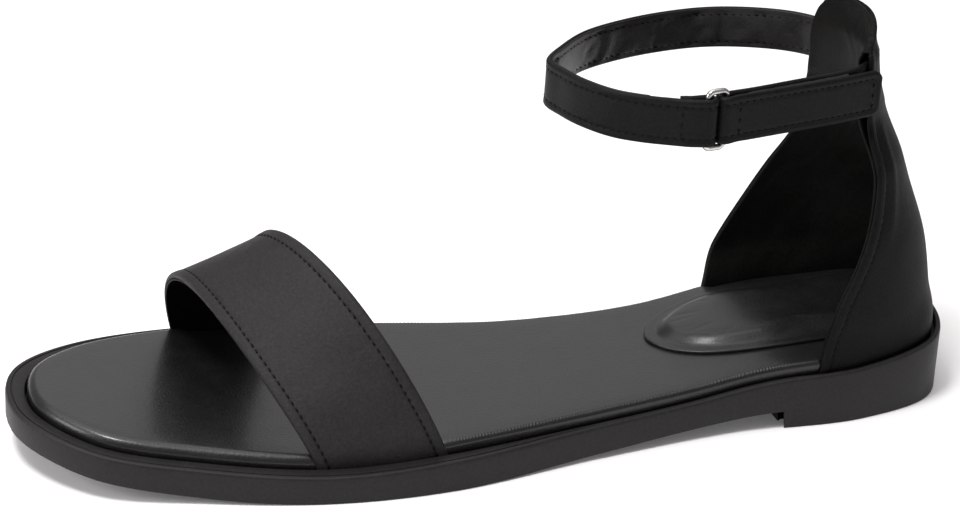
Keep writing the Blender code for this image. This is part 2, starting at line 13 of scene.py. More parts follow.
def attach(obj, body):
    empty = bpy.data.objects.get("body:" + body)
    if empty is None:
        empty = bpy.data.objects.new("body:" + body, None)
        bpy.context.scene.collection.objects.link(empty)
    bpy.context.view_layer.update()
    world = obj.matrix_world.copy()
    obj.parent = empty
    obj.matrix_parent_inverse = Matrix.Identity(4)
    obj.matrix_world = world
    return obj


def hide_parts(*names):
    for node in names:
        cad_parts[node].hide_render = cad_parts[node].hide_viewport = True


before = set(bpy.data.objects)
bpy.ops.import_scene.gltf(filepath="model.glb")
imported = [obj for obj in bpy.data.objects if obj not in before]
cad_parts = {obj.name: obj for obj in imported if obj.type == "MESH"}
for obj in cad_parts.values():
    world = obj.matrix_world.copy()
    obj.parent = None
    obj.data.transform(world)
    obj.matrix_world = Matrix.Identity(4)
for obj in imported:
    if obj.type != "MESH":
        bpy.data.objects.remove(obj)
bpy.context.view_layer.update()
bpy.ops.object.select_all(action="DESELECT")

# Camera: the photo's view of the sandal's outer side, from the front and above, rolled a little.
AZIMUTH, ELEVATION, ROLL = (math.radians(a) for a in (70.5, 24.4, 3.0))
AIM = Vector((-0.01044, -0.00006, 0.0366))
DISTANCE = 0.755
LENS = 107.25
right = Vector((math.cos(AZIMUTH), math.sin(AZIMUTH), 0.0))
back = Vector((math.sin(AZIMUTH) * math.cos(ELEVATION), -math.cos(AZIMUTH) * math.cos(ELEVATION),
               math.sin(ELEVATION)))
up = back.cross(right)
bpy.ops.object.camera_add()
camera = bpy.context.object
camera.data.lens = LENS
camera.data.clip_start = 0.01
turned = [right * math.cos(ROLL) + up * math.sin(ROLL), up * math.cos(ROLL) - right * math.sin(ROLL), back]
camera.matrix_world = Matrix.Translation(AIM + back * DISTANCE) @ Matrix(turned).transposed().to_4x4()
bpy.context.scene.camera = camera

# Studio: a pale floor that glows a little, a pale surround, and soft lights above, at the toe and behind
# the inner side, where one gives the footbed its sheen.
FLOOR_SIZE = 6.0
FLOOR_COLOUR = (0.93, 0.915, 0.915, 1.0)
FLOOR_GLOW = 0.08
SURROUND_COLOUR = (1.0, 0.965, 0.96, 1.0)
SURROUND_STRENGTH = 0.3
LIGHTS = {
    "name": ("top", "key", "toe", "sheen"),
    "place": ((-0.2, -0.1, 1.3), (0.2, -0.4, 1.1), (0.1, -1.2, 0.6), (-1.15, 0.4, 0.62)),
    "size": (1.6, 0.26, 0.6, 0.8),
    "watts": (11.5, 8.5, 7.0, 0.85),
}
bpy.ops.mesh.primitive_plane_add(size=FLOOR_SIZE)
floor = bpy.context.object
floor.name = "floor"
floor_paint = bpy.data.materials.new("floor_paint")
floor_paint.use_nodes = True
floor_shader = floor_paint.node_tree.nodes["Principled BSDF"]
floor_shader.inputs["Base Color"].default_value = FLOOR_COLOUR
floor_shader.inputs["Roughness"].default_value = 0.9
floor_shader.inputs["Specular IOR Level"].default_value = 0.1
floor_shader.inputs["Emission Color"].default_value = (1.0, 1.0, 1.0, 1.0)
floor_shader.inputs["Emission Strength"].default_value = FLOOR_GLOW
floor.data.materials.append(floor_paint)
for name, place, size, watts in zip(*LIGHTS.values()):
    bpy.ops.object.light_add(type="AREA", location=place)
    light = bpy.context.object
    light.name = name
    light.rotation_euler = (Vector(place) - AIM).to_track_quat("Z", "Y").to_euler()
    light.data.size = size
    light.data.energy = watts
surround = bpy.data.worlds.new("surround")
bpy.context.scene.world = surround
surround.use_nodes = True
surround.node_tree.nodes["Background"].inputs["Color"].default_value = SURROUND_COLOUR
surround.node_tree.nodes["Background"].inputs["Strength"].default_value = SURROUND_STRENGTH
bpy.context.scene.view_settings.view_transform = "Standard"

# Outsole: one moulded rubber unit with a low heel lug, a raised rim round the tray that holds the footbed,
# a groove along the rim where it is broad, and shallow tread ribs below.
MM = 0.001
OUTLINE = (
    (0.8, 0.0), (23.2, 7.6), (32.4, 32.0), (32.6, 70.0), (37.8, 110.0), (45.2, 150.0), (44.8, 180.0),
    (37.5, 212.0), (27.7, 239.0), (6.8, 253.6), (-17.8, 250.4), (-36.6, 230.4), (-45.9, 195.0),
    (-38.4, 158.0), (-26.8, 115.0), (-24.8, 75.0), (-27.2, 35.0), (-20.8, 7.6),
)
SOLE = {
    "along": (0, 30, 55, 80, 107, 150, 180, 204, 232, 255),
    "underside": (4.9, 4.9, 4.8, 3.2, 1.5, 0.0, 0.0, 0.8, 4.3, 8.2),
    "rim": (18.8, 15.4, 14.1, 11.0, 9.6, 8.4, 7.4, 8.5, 11.5, 15.2),
    "rim_lateral": (2.0, 2.0, 1.9, 1.9, 2.2, 4.5, 4.9, 4.9, 4.9, 4.9),
    "rim_medial": (2.0, 2.0, 2.6, 3.2, 3.4, 4.5, 4.9, 4.9, 4.9, 4.9),
}
HEEL_BREAST = 55.0
TRAY_DEPTH = 3.4
HEEL_RIM_CUT = 0.4
HEEL_RIM_FROM = 54
TREAD_PITCH = 6.5
TREAD_DEPTH = 0.5
GAP = 0.3


def smooth(at, value):
    """Return a smooth function through a row of values, level at its ends and turns."""
    at, value = np.array(at, float), np.array(value, float)
    slope = np.gradient(value, at)
    slope[np.r_[False, np.diff(value[:-1]) * np.diff(value[1:]) <= 0, False]] = 0.0

    def evaluate(x):
        x = np.clip(x, at[0], at[-1])
        k = np.clip(np.searchsorted(at, x, side="right") - 1, 0, len(at) - 2)
        step = at[k + 1] - at[k]
        t = (x - at[k]) / step
        return (value[k] * (1 + 2 * t) * (1 - t) ** 2 + slope[k] * step * t * (1 - t) ** 2
                + value[k + 1] * t * t * (3 - 2 * t) + slope[k + 1] * step * t * t * (t - 1))

    return evaluate


def ease(t):
    """Ease from 0 to 1 as t goes from 0 to 1."""
    t = np.clip(t, 0.0, 1.0)
    return t * t * (3.0 - 2.0 * t)


def closed_curve(points, per_span):
    """Return a dense smooth closed curve through the points, and its inward normals."""
    p = np.array(points, float)
    ahead, behind = np.roll(p, -1, 0), np.roll(p, 1, 0)
    chord = np.sqrt(np.linalg.norm(ahead - p, axis=1))[:, None]
    before = np.roll(chord, 1, 0)
    tangent = ((p - behind) / before * chord + (ahead - p) / chord * before) / (before + chord)
    t = (np.arange(per_span) / per_span)[None, :, None]
    p, q = p[:, None], ahead[:, None]
    m, n, h = tangent[:, None], np.roll(tangent, -1, 0)[:, None], chord[:, None]
    dense = p * (1 + 2 * t) * (1 - t) ** 2 + m * h * t * (1 - t) ** 2 \
        + q * t * t * (3 - 2 * t) + n * h * t * t * (t - 1)
    dense = dense.reshape(-1, 2)
    slope = np.roll(dense, -1, 0) - np.roll(dense, 1, 0)
    slope /= np.linalg.norm(slope, axis=1)[:, None]
    return dense, np.stack([-slope[:, 1], slope[:, 0]], 1)


curve, inward = closed_curve(OUTLINE, 40)
lowest, highest = curve.min(0), curve.max(0)
curve -= np.array([(lowest[0] + highest[0]) / 2, lowest[1]])
LENGTH = highest[1] - lowest[1]
heel_tip, toe_tip = int(np.argmin(curve[:, 1])), int(np.argmax(curve[:, 1]))
SIDES = {}
for side in (1, -1):
    span = (toe_tip - heel_tip) * side % len(curve)
    order = (heel_tip + side * np.arange(span + 1)) % len(curve)
    SIDES[side] = (curve[order], inward[order])
UNDERSIDE = smooth(SOLE["along"], SOLE["underside"])
RIM = smooth(SOLE["along"], SOLE["rim"])
RIM_WIDTH = {1: smooth(SOLE["along"], SOLE["rim_lateral"]), -1: smooth(SOLE["along"], SOLE["rim_medial"])}


def stations(count):
    """Return places along the sole, closer together at the heel and toe."""
    k = np.arange(count + 1) / count
    return LENGTH * (0.25 * k + 0.75 * (0.5 - 0.5 * np.cos(math.pi * k)))


def outline_at(side, along, inset):
    """Return points of the outline on one side, moved inwards by inset."""
    points, inner = SIDES[side]
    rising = np.maximum.accumulate(points[:, 1])
    p = np.stack([np.interp(along, rising, points[:, 0]), along], -1)
    v = np.stack([np.interp(along, rising, inner[:, a]) for a in (0, 1)], -1)
    return p + v / np.linalg.norm(v, axis=-1)[..., None] * np.asarray(inset)[..., None]


def sole_sections(along, profile, under, top_across, under_across):
    """Return closed sections across the sole: a side's profile, across, the other side's, and back."""
    columns = {}
    for side in (1, -1):
        columns[side] = []
        for inset, height in profile:
            edge = outline_at(side, along, inset(side, along))
            columns[side].append(np.stack([edge[:, 0], edge[:, 1], height(edge[:, 1])], -1))
    first, last = columns[1], columns[-1]
    top = [first[-1] + (last[-1] - first[-1]) * t for t in top_across]
    low = [last[0] + (first[0] - last[0]) * t for t in under_across]
    for row in low:
        row[:, 2] = under(row[:, 1])
    return np.stack(first + top + last[::-1] + low, 1)


def place(points):
    """Turn (across, along, height) in millimetres into scene coordinates in metres."""
    p = np.asarray(points, float)
    return np.stack([p[..., 0] * MM, (LENGTH / 2 - p[..., 1]) * MM, p[..., 2] * MM], -1)


def formed(name, points, merge=0.01, sharp=40.0):
    """Add a grid, move its points onto a form given in millimetres, and close its seams."""
    rows, columns = points.shape[:2]
    bpy.ops.mesh.primitive_grid_add(x_subdivisions=columns - 1, y_subdivisions=rows - 1, size=1.0)
    obj = bpy.context.object
    obj.name = name
    obj.data.name = name
    obj.data.vertices.foreach_set("co", place(points).ravel())
    bpy.ops.object.mode_set(mode="EDIT")
    bpy.ops.mesh.select_all(action="SELECT")
    bpy.ops.mesh.remove_doubles(threshold=merge * MM)
    bpy.ops.mesh.normals_make_consistent(inside=False)
    bpy.ops.object.mode_set(mode="OBJECT")
    bpy.ops.object.shade_smooth_by_angle(angle=math.radians(sharp))
    return obj


def finish(obj, material, slot, *nodes):
    """Give a piece its material, put it on the sandal's body and hide the solids it stands for."""
    obj.data.materials.clear()
    obj.data.materials.append(material)
    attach(obj, "root")
    if nodes:
        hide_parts(*nodes)
    obj.select_set(False)
    return obj


def new_group(name, inputs, outputs):
    """Start a shader node group with named value inputs and outputs."""
    group = bpy.data.node_groups.new(name, "ShaderNodeTree")
    for label, kind, value in inputs:
        socket = group.interface.new_socket(label, in_out="INPUT", socket_type=kind)
        if value is not None:
            socket.default_value = value
    for label, kind in outputs:
        group.interface.new_socket(label, in_out="OUTPUT", socket_type=kind)
    return group, group.nodes.new("NodeGroupInput"), group.nodes.new("NodeGroupOutput")


def math_node(tree, operation, a, b=None, c=None):
    """Add a math node fed by sockets or numbers, and return its output."""
    node = tree.nodes.new("ShaderNodeMath")
    node.operation = operation
    for i, value in enumerate((a, b, c)):
        if isinstance(value, bpy.types.NodeSocket):
            tree.links.new(value, node.inputs[i])
        elif value is not None:
            node.inputs[i].default_value = value
    return node.outputs[0]


def noise_node(tree, vector, scale, detail=2.0, roughness=0.5):
    """Add a noise texture on a vector, and return its value."""
    node = tree.nodes.new("ShaderNodeTexNoise")
    tree.links.new(vector, node.inputs["Vector"])
    node.inputs["Scale"].default_value = scale
    node.inputs["Detail"].default_value = detail
    node.inputs["Roughness"].default_value = roughness
    return node.outputs["Fac"]


def grain_group():
    """Build the shared grain: fine pebbles, hair cells and slow mottling, from Object coordinates."""
    group, given, out = new_group(
        "leather_grain",
        (("Vector", "NodeSocketVector", None), ("Pebble", "NodeSocketFloat", 0.5),
         ("Fine", "NodeSocketFloat", 0.5)),
        (("Height", "NodeSocketFloat"), ("Mottle", "NodeSocketFloat"), ("Speckle", "NodeSocketFloat")),
    )
    cells = group.nodes.new("ShaderNodeTexVoronoi")
    cells.feature = "SMOOTH_F1"
    cells.inputs["Scale"].default_value = 1500.0
    cells.inputs["Smoothness"].default_value = 0.6
    group.links.new(given.outputs["Vector"], cells.inputs["Vector"])
    fine = noise_node(group, given.outputs["Vector"], 4200.0, 3.0, 0.6)
    slow = noise_node(group, given.outputs["Vector"], 120.0, 4.0, 0.6)
    pebble = math_node(group, "MULTIPLY", cells.outputs["Distance"], given.outputs["Pebble"])
    height = math_node(group, "MULTIPLY_ADD", fine, given.outputs["Fine"], pebble)
    group.links.new(height, out.inputs["Height"])
    group.links.new(slow, out.inputs["Mottle"])
    speck = noise_node(group, given.outputs["Vector"], 1300.0, 3.0, 0.7)
    group.links.new(math_node(group, "MULTIPLY_ADD", speck, 3.0, -1.5), out.inputs["Speckle"])
    return group


GRAIN = grain_group()


def surface_material(name, dark, light, roughness, pebble, fine, depth, coat=0.0, metallic=0.0, shine=0.3):
    """Make a material between a dark and a light tone, with a bump of pebbles and fine pores as its grain."""
    mat = bpy.data.materials.new(name)
    mat.use_nodes = True
    tree = mat.node_tree
    shader = tree.nodes["Principled BSDF"]
    where = tree.nodes.new("ShaderNodeTexCoord").outputs["Object"]
    grain = tree.nodes.new("ShaderNodeGroup")
    grain.node_tree = GRAIN
    grain.inputs["Pebble"].default_value = pebble
    grain.inputs["Fine"].default_value = fine
    tree.links.new(where, grain.inputs["Vector"])
    mix = tree.nodes.new("ShaderNodeMix")
    mix.data_type = "RGBA"
    mix.inputs["A"].default_value = (*dark, 1.0)
    mix.inputs["B"].default_value = (*light, 1.0)
    tone = math_node(tree, "ADD", grain.outputs["Mottle"], grain.outputs["Speckle"])
    tree.links.new(tone, mix.inputs["Factor"])
    tree.links.new(mix.outputs["Result"], shader.inputs["Base Color"])
    gloss = math_node(tree, "MULTIPLY_ADD", grain.outputs["Mottle"], 0.16, roughness - 0.08)
    tree.links.new(gloss, shader.inputs["Roughness"])
    bump = tree.nodes.new("ShaderNodeBump")
    bump.inputs["Distance"].default_value = depth * MM
    bump.inputs["Strength"].default_value = 1.0
    tree.links.new(grain.outputs["Height"], bump.inputs["Height"])
    tree.links.new(bump.outputs["Normal"], shader.inputs["Normal"])
    shader.inputs["Specular IOR Level"].default_value = shine
    shader.inputs["Coat Weight"].default_value = coat
    shader.inputs["Coat Roughness"].default_value = 0.2
    shader.inputs["Metallic"].default_value = metallic
    return mat


def sole_under(along):
    """Return the height of the underside, which is level under the heel lug."""
    return np.where(along <= HEEL_BREAST + 0.02, 0.0, UNDERSIDE(along))


def at_inset(value, share=0.0):
    """Return an inset of a value, plus a share of the rim's width."""
    return lambda side, along: value + share * RIM_WIDTH[side](along) * (
        1 - HEEL_RIM_CUT * ease((HEEL_RIM_FROM - along) / 10))


def rim_drop(value):
    """Return a height below the top of the rim."""
    return lambda along: RIM(along) - value


def groove_at(offset):
    """Return the inset of the rim's groove, which fades away where the rim is narrow."""
    return lambda side, along: np.minimum(1.3, 0.45 * RIM_WIDTH[side](along)) + offset


def groove_drop(depth):
    """Return the height of the groove's floor, shallow where the rim is narrow."""
    return lambda along: RIM(along) - depth * ease((along - 95.0) / 40.0)


def tread(along):
    """Return the underside with shallow grooves across it."""
    return sole_under(along) + TREAD_DEPTH * ease(2.2 * np.sin(2 * math.pi * along / TREAD_PITCH) - 0.6)


sole_along = stations(300)
breast = int(np.argmin(abs(sole_along - HEEL_BREAST)))
sole_along[breast], sole_along[breast + 1] = HEEL_BREAST, HEEL_BREAST + 0.5
sole_profile = (
    (at_inset(0.45), lambda s: sole_under(s)),
    (at_inset(0.12), lambda s: sole_under(s) + 0.15),
    (at_inset(0.0), lambda s: sole_under(s) + 0.5),
    (at_inset(0.0), rim_drop(1.0)),
    (at_inset(0.08), rim_drop(0.5)),
    (at_inset(0.3), rim_drop(0.16)),
    (at_inset(0.7), rim_drop(0.0)),
    (groove_at(0.0), rim_drop(0.0)),
    (groove_at(0.1), groove_drop(0.28)),
    (groove_at(0.35), groove_drop(0.28)),
    (groove_at(0.45), rim_drop(0.0)),
    (at_inset(-0.25, 1.0), rim_drop(0.0)),
    (at_inset(-0.05, 1.0), rim_drop(0.12)),
    (at_inset(0.0, 1.0), rim_drop(0.4)),
    (at_inset(0.0, 1.0), rim_drop(TRAY_DEPTH)),
)
outsole = formed("outsole_rubber", sole_sections(
    sole_along, sole_profile, tread, np.linspace(0, 1, 8)[1:-1], np.linspace(0, 1, 16)[1:-1]))
RUBBER = surface_material("sole_rubber", (0.0105, 0.0096, 0.0099), (0.0175, 0.0160, 0.0166),
                          0.52, 0.3, 0.5, 0.05, shine=0.22)
finish(outsole, RUBBER, "sole_rubber", "outsole")

# Footbed: a board wrapped in thin smooth leather that lies in the tray. The cover is drawn in tight over the
# rounded edge and crimps into fine pleats along the waist.
FOOTBED_PROUD = 3.1
FOOTBED_CLEARANCE = 0.6
COUNTER_WALL = 2.0
BAND_FEET = {1: (184.5, 151.0), -1: (203.4, 173.0)}
COUNTER_FOOT = {1: 46.0, -1: 59.0}
ROOM_PAST = -4.0
ROOM_FADE = 4.0
HEEL_ROOM = 1.1
PLEAT = 0.9
EDGE_ROUND = 2.6
BED_TOP_COLUMNS = 12


def wavy(x, y, seed):
    """Return smooth noise from -1 to 1, with about one bump in each unit."""
    table = np.random.RandomState(seed).uniform(-1.0, 1.0, (61, 61))
    i, j = np.floor(x).astype(int), np.floor(y).astype(int)
    s, t = ease(x - i), ease(y - j)
    i, j = i % 61, j % 61
    k, l = (i + 1) % 61, (j + 1) % 61
    near, far = table[i, j] * (1 - s) + table[k, j] * s, table[i, l] * (1 - s) + table[k, l] * s
    return near * (1 - t) + far * t


def footbed_inset(side, along):
    """Return the inset of the footbed's edge, further in where the band or counter passes it."""
    front, rear = BAND_FEET[side]
    past = ROOM_PAST + ROOM_FADE
    band = ease((along - rear + past) / ROOM_FADE) * ease((front + past - along) / ROOM_FADE)
    heel = ease((COUNTER_FOOT[side] + past - along) / ROOM_FADE)
    room = (COUNTER_WALL + 3 * GAP - FOOTBED_CLEARANCE) * np.maximum(band, heel)
    room = room + HEEL_ROOM * ease((HEEL_BREAST - along) / HEEL_BREAST)
    return RIM_WIDTH[side](along) + FOOTBED_CLEARANCE + room


def pleats(side, along, share):
    """Return how far the cover's pleats stand out, most at the waist's upper edge."""
    waist = ease((along - 50.0) / 10.0) * ease((160.0 - along) / 12.0)
    near_edge = np.exp(-((share - 0.66) / 0.17) ** 2)
    drift = wavy(along / 4.0, share * 2.0, 11 + side)
    fold = np.sin(2 * math.pi * (along / PLEAT + 0.5 * drift + 0.9 * share))
    fold = fold * (0.6 + 0.4 * wavy(along / 1.7, share * 2.0 + 9.0, 31 + side))
    return fold * near_edge * 0.13 * waist + 0.04 * drift * near_edge


def tightness(along):
    """Return the share of the cover's rounding: full at the toe, tighter along the waist."""
    return 0.55 + 0.45 * ease((along - 140.0) / 30.0)


bed_along = np.sort(np.r_[np.linspace(0, LENGTH, 1251), stations(200)[[1, 2, 3, -4, -3, -2]]])
edge_turn = np.radians(np.linspace(0, 90, 9))
bed_profile = [
    (lambda side, s: footbed_inset(side, s) + 0.8, lambda s: RIM(s) - TRAY_DEPTH + GAP),
    (lambda side, s: footbed_inset(side, s), lambda s: RIM(s) - TRAY_DEPTH + GAP + 0.8),
]
for turn in edge_turn:
    run_in = EDGE_ROUND * (1 - math.cos(turn))
    drop = EDGE_ROUND * (1 - math.sin(turn))
    share = float(turn / edge_turn[-1])

    def bed_inset(side, s, run_in=run_in, share=share):
        fold = pleats(side, s, share) * math.cos(share * math.pi / 2)
        return footbed_inset(side, s) + run_in * tightness(s) - fold

    def bed_height(s, drop=drop):
        return RIM(s) + FOOTBED_PROUD - drop * tightness(s)

    bed_profile.append((bed_inset, bed_height))
bed_sections = sole_sections(bed_along, bed_profile, lambda s: RIM(s) - TRAY_DEPTH + GAP,
                             np.linspace(0, 1, BED_TOP_COLUMNS + 2)[1:-1], np.linspace(0, 1, 5)[1:-1])
inner_side_first = 2 * len(bed_profile) + BED_TOP_COLUMNS - 3
for side, first, step in ((1, 2, 1), (-1, inner_side_first, -1)):
    for k in range(len(edge_turn)):
        share = k / (len(edge_turn) - 1)
        lift = pleats(side, bed_sections[:, first + step * k, 1], share) * math.sin(share * math.pi / 2)
        bed_sections[:, first + step * k, 2] += lift
footbed = formed("footbed_cover", bed_sections)
BED_LEATHER = surface_material("footbed_leather", (0.003, 0.0027, 0.0026), (0.0075, 0.0069, 0.0066), 0.4,
                               0.5, 0.35, 0.09, coat=0.45, shine=0.36)
finish(footbed, BED_LEATHER, "footbed_leather", "footbed")

# Heel pad: a teardrop cushion covered in thin leather, with a flat sewn margin, glued on the footbed. The
# cushion's cover is blown up from a lower shape as cloth that is held along the margin.
PAD_OUTLINE = ((6.8, 0.0), (9.2, 9.5), (16.0, 15.6), (30.0, 18.0), (52.0, 18.4), (64.0, 16.6),
               (74.0, 12.6), (80.5, 6.8), (83.2, 0.0))
PAD_CENTRE = 1.3
PAD_MIDDLE = 44.0
PAD_EDGE_ROWS = {
    "inset": (0.5, 0.1, 0.0, 0.0, 0.1, 0.35, 0.8, 1.6, 2.4, 3.1, 3.7, 4.3, 4.9, 5.5, 6.1, 6.8, 7.5, 8.2,
              9.0),
    "height": (-0.1, 0.0, 0.15, 0.55, 0.75, 0.85, 0.88, 0.88, 0.88, 0.92, 1.08, 1.38, 1.76, 2.15, 2.5, 2.82,
               3.03, 3.15, 3.2),
}
PAD_CROWN_ROWS = (0.93, 0.86, 0.78, 0.7, 0.61, 0.52, 0.43, 0.34, 0.25, 0.16, 0.08, 0.0)
PAD_DISH = 0.25
PAD_HELD = 1.0
PAD_LIMIT = 0.3
PAD_PRESSURE = 6.0
CLOTH_STEPS = 20
half_pad = [(x, s) for s, x in PAD_OUTLINE]
pad_curve = closed_curve(half_pad + [(-x, s) for x, s in reversed(half_pad[1:-1])], 12)[0]
pad_curve = np.concatenate([pad_curve, pad_curve[:1]])
pad_arm = pad_curve - (0.0, PAD_MIDDLE)
pad_reach = np.linalg.norm(pad_arm, axis=1)[:, None]
pad_rows = [(0.0, 0.0, -0.1), (0.5, 0.0, -0.1)]
pad_rows += [(1.0, inset, height) for inset, height in zip(*PAD_EDGE_ROWS.values())]
crown_in, crown_height = (row[-1] for row in PAD_EDGE_ROWS.values())
pad_rows += [(share, crown_in, crown_height - PAD_DISH * (1 - share ** 2)) for share in PAD_CROWN_ROWS]
pad_points = []
for share, inset, height in pad_rows:
    flat = pad_arm * (1 - inset / pad_reach) * share + (PAD_CENTRE, PAD_MIDDLE)
    level = RIM(flat[:, 1]) + FOOTBED_PROUD + height
    pad_points.append(np.column_stack([flat, level]))
pad = formed("heel_pad_cover", np.array(pad_points))
start = np.empty(len(pad.data.vertices) * 3)
pad.data.vertices.foreach_get("co", start)
start = start.reshape(-1, 3)
flat = np.column_stack([start[:, 0] / MM, LENGTH / 2 - start[:, 1] / MM])
lift = start[:, 2] / MM - RIM(flat[:, 1]) - FOOTBED_PROUD
held = pad.vertex_groups.new(name="held")
held.add([int(i) for i in np.nonzero(lift < PAD_HELD)[0]], 1.0, "REPLACE")
bpy.ops.object.modifier_add(type="CLOTH")
cloth = pad.modifiers[-1]
cloth.settings.vertex_group_mass = "held"
cloth.settings.mass = 0.001
cloth.settings.use_pressure = True
cloth.settings.uniform_pressure_force = PAD_PRESSURE
cloth.settings.effector_weights.gravity = 0.0
cloth.point_cache.frame_end = CLOTH_STEPS
for step in range(1, CLOTH_STEPS + 1):
    bpy.context.scene.frame_set(step)
bpy.ops.object.modifier_apply(modifier=cloth.name)
bpy.context.scene.frame_set(1)
blown = np.empty_like(start.ravel())
pad.data.vertices.foreach_get("co", blown)
moved = blown.reshape(-1, 3) - start
far = np.linalg.norm(moved, axis=1)[:, None]
moved *= np.tanh(far / (PAD_LIMIT * MM)) * PAD_LIMIT * MM / np.maximum(far, 1e-9)
pad.data.vertices.foreach_set("co", (start + moved).ravel())
pad.data.update()
PAD_LEATHER = surface_material("pad_leather", (0.0035, 0.0032, 0.003), (0.0085, 0.008, 0.0076), 0.36,
                               0.5, 0.3, 0.08, coat=0.25, shine=0.4)
finish(pad, PAD_LEATHER, "pad_leather", "heel_pad")

# Toe band: one leather band with both edges folded under and stitched, a thin lining, and both ends tucked
# down between the rim and the footbed.
LEATHER = 1.8
LINING = 0.6
BAND_ROUND = 0.7
LINING_ROUND = 0.3
STITCH_IN = 3.0
BAND = {
    "lateral": (184.5, 151.0),
    "medial": (203.4, 173.0),
    "rise": (27.6, 44.5),
    "bow": (9.2, 18.4),
    "lean": (-0.23, 0.0),
}
BAND_INSIDE = (0, 178, 0)
EDGE_STEPS = np.array((0.0, 0.04, 0.14, 0.32, 0.58, 0.95, 1.5, 2.1, 2.6, 3.0, 3.4, 3.9, 4.7))


def across_at(side, along, inset):
    """Return how far across the outline lies at a place along it, moved inwards by inset."""
    points, inner = SIDES[side]
    moved = points + inner * inset
    return float(np.interp(along, np.maximum.accumulate(moved[:, 1]), moved[:, 0]))


def lengths_along(points):
    """Return the distance along a row of points, from its first point to each."""
    return np.r_[0.0, np.cumsum(np.linalg.norm(np.diff(points, axis=0), axis=1))]


def at_lengths(at, lengths, points):
    """Return the places at given lengths along a row of points."""
    return np.stack([np.interp(at, lengths, points[:, a]) for a in range(points.shape[1])], -1)


def spaced(dense, columns):
    """Space each row of a dense surface by distance, closely at both edges; return also the distances."""
    rows, inward_distance = [], []
    for row in dense:
        length = lengths_along(row)
        middle = np.linspace(EDGE_STEPS[-1], length[-1] - EDGE_STEPS[-1], columns)[1:-1]
        at = np.r_[EDGE_STEPS, middle, length[-1] - EDGE_STEPS[::-1]]
        rows.append(at_lengths(at, length, row))
        inward_distance.append(np.minimum(at, length[-1] - at))
    return np.array(rows), np.array(inward_distance)


def normals_of(grid, inside):
    """Return a surface's normals, turned away from a point inside."""
    normal = np.cross(np.gradient(grid, axis=0), np.gradient(grid, axis=1))
    normal /= np.linalg.norm(normal, axis=2)[:, :, None] + 1e-12
    return normal * np.sign(np.sum(normal * (grid - np.array(inside))))


def rounded(distance, radius):
    """Return how full a wall is at a distance from its rounded edge."""
    return np.sqrt(1.0 - (1.0 - np.clip(distance / radius, 0.0, 1.0)) ** 2)


def turned_edge(distance, fold=0.3, groove=0.26, row=STITCH_IN):
    """Return how much a folded edge stands out, with a groove along its row of stitches."""
    plateau = ease(distance / 0.9) * (1 - ease((distance - row + 0.35) / 0.6))
    return fold * plateau - groove * np.exp(-((distance - row) / 0.4) ** 2)


def sheet(name, front, back):
    """Make a closed sheet from the points of its two faces."""
    return formed(name, np.concatenate([front, back[:, ::-1][:, 1:]], 1))


def panel(name, grid, outer, inner, inside):
    """Make a closed sheet from a middle surface and how far it stands out on each side."""
    normal = normals_of(grid, inside)
    skin = grid + normal * outer[:, :, None]
    return sheet(name, skin, grid - normal * inner[:, :, None]), skin, normal


def closed_ends(thickness):
    """Return a sheet's thickness with its first and last rows closed."""
    closed = np.array(thickness)
    closed[[0, -1]] = 0.0
    return closed


def seam(points, normals, pitch=2.05):
    """Return stitch places along a line: points, directions and normals at equal steps."""
    length = lengths_along(points)
    at = np.linspace(0.0, length[-1], max(int(round(length[-1] / pitch)), 2))[:-1] + pitch / 2
    middle = at_lengths(at, length, points)
    direction = at_lengths(at + 0.5, length, points) - at_lengths(at - 0.5, length, points)
    direction /= np.linalg.norm(direction, axis=1)[:, None] + 1e-9
    normal = at_lengths(at, length, normals)
    return middle, direction, normal / np.linalg.norm(normal, axis=1)[:, None]


THREAD = surface_material("sewing_thread", (0.0012, 0.0011, 0.0011), (0.003, 0.0029, 0.0028),
                          0.5, 0.0, 0.5, 0.02, shine=0.12)


def sew(name, seams, slot, length=1.5, thick=0.5):
    """Copy one modelled stitch to every place of the seams, as one mesh."""
    bpy.ops.mesh.primitive_uv_sphere_add(segments=8, ring_count=5, radius=1.0)
    stitch = bpy.context.object
    shape = np.array([v.co for v in stitch.data.vertices])
    faces = [list(p.vertices) for p in stitch.data.polygons]
    bpy.data.objects.remove(stitch, do_unlink=True)
    middle, direction, normal = (np.concatenate([row[i] for row in seams]) for i in range(3))
    beside = np.cross(normal, direction)
    slant = direction + beside * 0.1
    run = np.sign(shape[:, 2]) * np.abs(shape[:, 2]) ** 0.8
    lift = shape[:, 0] * thick / 2 + 0.12 - 0.3 * run ** 4
    points = (middle[:, None] + slant[:, None] * (run * length / 2)[None, :, None]
              + beside[:, None] * (shape[:, 1] * thick / 2)[None, :, None]
              + normal[:, None] * lift[None, :, None])
    count = len(shape)
    mesh = bpy.data.meshes.new(name)
    mesh.from_pydata(place(points.reshape(-1, 3)).tolist(), [],
                     [[v + k * count for v in face] for k in range(len(middle)) for face in faces])
    mesh.shade_smooth()
    obj = bpy.data.objects.new(name, mesh)
    bpy.context.collection.objects.link(obj)
    bpy.context.view_layer.objects.active = obj
    bpy.ops.object.select_all(action="DESELECT")
    obj.select_set(True)
    bpy.ops.object.mode_set(mode="EDIT")
    bpy.ops.mesh.select_all(action="SELECT")
    bpy.ops.mesh.normals_make_consistent(inside=False)
    bpy.ops.object.mode_set(mode="OBJECT")
    return finish(obj, THREAD, slot)


